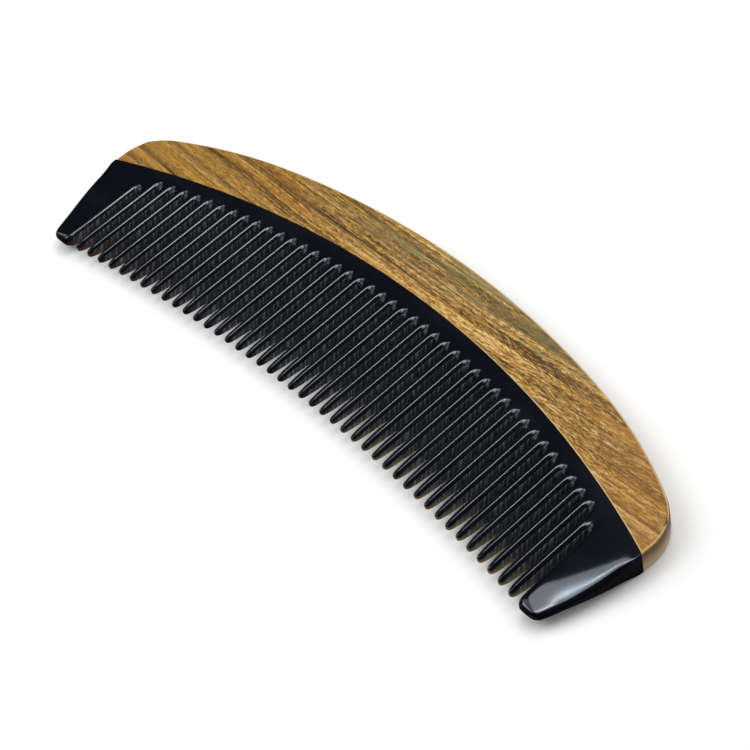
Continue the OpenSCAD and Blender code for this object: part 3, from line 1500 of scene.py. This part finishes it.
@dataclass(frozen=True)
class Softbox:
    """A rectangular light that faces the comb.

    towards is the direction in which it stands and distance how far off, both from the comb's middle. turn is
    its turn about its own axis, in degrees, and brightness what its face shows in a mirror, where white paper
    in full light shows about 1.
    """

    name: str
    towards: Triple
    distance: float
    size: Span
    brightness: float
    tint: Colour = (1.0, 1.0, 1.0)
    turn: float = 0.0
    role: Role = Role.SHINE

    def build(self) -> None:
        """Makes the light."""
        light = bpy.data.lights.new(self.name, "AREA")
        light.shape = "RECTANGLE"
        light.size, light.size_y = self.size
        light.color = self.tint
        light.energy = self.brightness * math.pi * self.size[0] * self.size[1]
        lamp = bpy.data.objects.new(self.name, light)
        direction = Vector(self.towards).normalized()
        lamp.location = direction * self.distance
        turned = Quaternion((0, 0, 1), math.radians(self.turn))
        lamp.rotation_euler = (direction.to_track_quat("Z", "Y") @ turned).to_euler()
        lamp.visible_glossy = self.role is Role.SHINE
        lamp.visible_diffuse = self.role is Role.FILL
        bpy.context.collection.objects.link(lamp)


SOFTBOXES = (
    Softbox("panel", (-0.165, 0.28, 0.945), 1.0, (0.33, 0.9), 3.7, (0.81, 0.93, 1.0)),
    Softbox("glow", (-0.075, 0.045, 0.95), 0.95, (0.12, 0.15), 3.6, (0.5, 0.7, 1.0)),
    Softbox("hot", (-0.035, 0.225, 0.97), 0.94, (0.055, 0.1), 17.0, (0.95, 0.98, 1.0)),
    Softbox("streak", (-0.094, 0.125, 0.987), 0.94, (0.025, 0.15), 15.0, (0.93, 0.96, 1.0), -37.0),
    Softbox("low", (-0.42, -0.5, 0.76), 1.2, (0.64, 0.17), 3.4, (0.96, 0.92, 1.0), 40.0),
    Softbox("key", (-0.12, 0.42, 0.9), 1.0, (0.9, 0.95), 2.3, role=Role.FILL),
    Softbox("left", (-0.5, -0.45, 0.72), 1.2, (1.1, 1.0), 2.6, role=Role.FILL),
    Softbox("back", (0.6, 0.5, 0.6), 1.2, (0.8, 0.6), 1.0, role=Role.FILL),
    Softbox("far", (-0.8, -0.27, 0.53), 1.2, (0.34, 0.34), 2.6, (0.96, 0.94, 1.0)),
    Softbox("arch", (-0.26, -0.03, 0.95), 1.2, (0.08, 0.42), 3.4, (0.93, 0.95, 1.0)),
    Softbox("front", (-0.37, -0.36, 0.84), 1.2, (0.8, 0.62), 1.1, (0.93, 0.93, 1.0)),
)


@dataclass(frozen=True)
class Studio:
    """The floor, the lights and the camera.

    The camera's frame and focal length are in pixels, its angles in degrees, and its target and distance in
    millimetres.
    """

    frame_px: float = 750.0
    focal_px: float = 2257.3
    sensor: float = 36.0
    near_clip: float = 0.01
    azimuth: float = 58.824
    elevation: float = 48.305
    roll: float = -13.832
    target: Span = (7.25, -4.51)
    distance: float = 476.04
    ambient: float = 0.3
    floor_size: float = 3.0
    floor_z: float = -0.00002

    def build(self) -> None:
        """Makes all three."""
        self.add_floor()
        self.add_lights()
        self.add_camera()

    def add_floor(self) -> None:
        """A flat sheet of paper just under the comb."""
        clear_selection()
        bpy.ops.mesh.primitive_plane_add(size=self.floor_size, location=(0, 0, self.floor_z))
        floor = bpy.context.object
        floor.name = "floor"
        floor.data.materials.append(FloorFinish().build())

    def add_lights(self) -> None:
        """The softboxes, a dim dome that doesn't show in gloss, and plain colours."""
        for softbox in SOFTBOXES:
            softbox.build()
        world = bpy.data.worlds.new("room")
        bpy.context.scene.world = world
        world.use_nodes = True
        world.node_tree.nodes["Background"].inputs["Color"].default_value = (self.ambient,) * 3 + (1.0,)
        world.cycles_visibility.glossy = False
        view = bpy.context.scene.view_settings
        view.view_transform = "Standard"
        view.look = "None"

    def add_camera(self) -> None:
        """The camera, turned round the upright axis, raised and rolled about a point on the floor."""
        turn, rise, roll = (math.radians(a) for a in (self.azimuth, self.elevation, self.roll))
        spin = Matrix.Rotation(turn, 4, "Z") @ Matrix.Rotation(math.pi / 2 - rise, 4, "X")
        lens = bpy.data.cameras.new("camera")
        lens.sensor_width = self.sensor
        lens.lens = self.focal_px / self.frame_px * self.sensor
        lens.clip_start = self.near_clip
        camera = bpy.data.objects.new("camera", lens)
        target = Matrix.Translation(Vector((*self.target, 0)) * MM)
        back_off = Matrix.Translation((0, 0, self.distance * MM))
        camera.matrix_world = target @ spin @ Matrix.Rotation(roll, 4, "Z") @ back_off
        bpy.context.collection.objects.link(camera)
        bpy.context.scene.camera = camera


def main() -> None:
    """Builds the comb, then the studio round it."""
    logging.basicConfig(level=logging.INFO, format="%(message)s")
    plan = CombPlan.from_frame()
    WoodBack(plan).build(WoodFinish(plan).build())
    HornPlate(plan).build(HornFinish(plan).build())
    Studio().build()


if __name__ == "__main__":
    main()
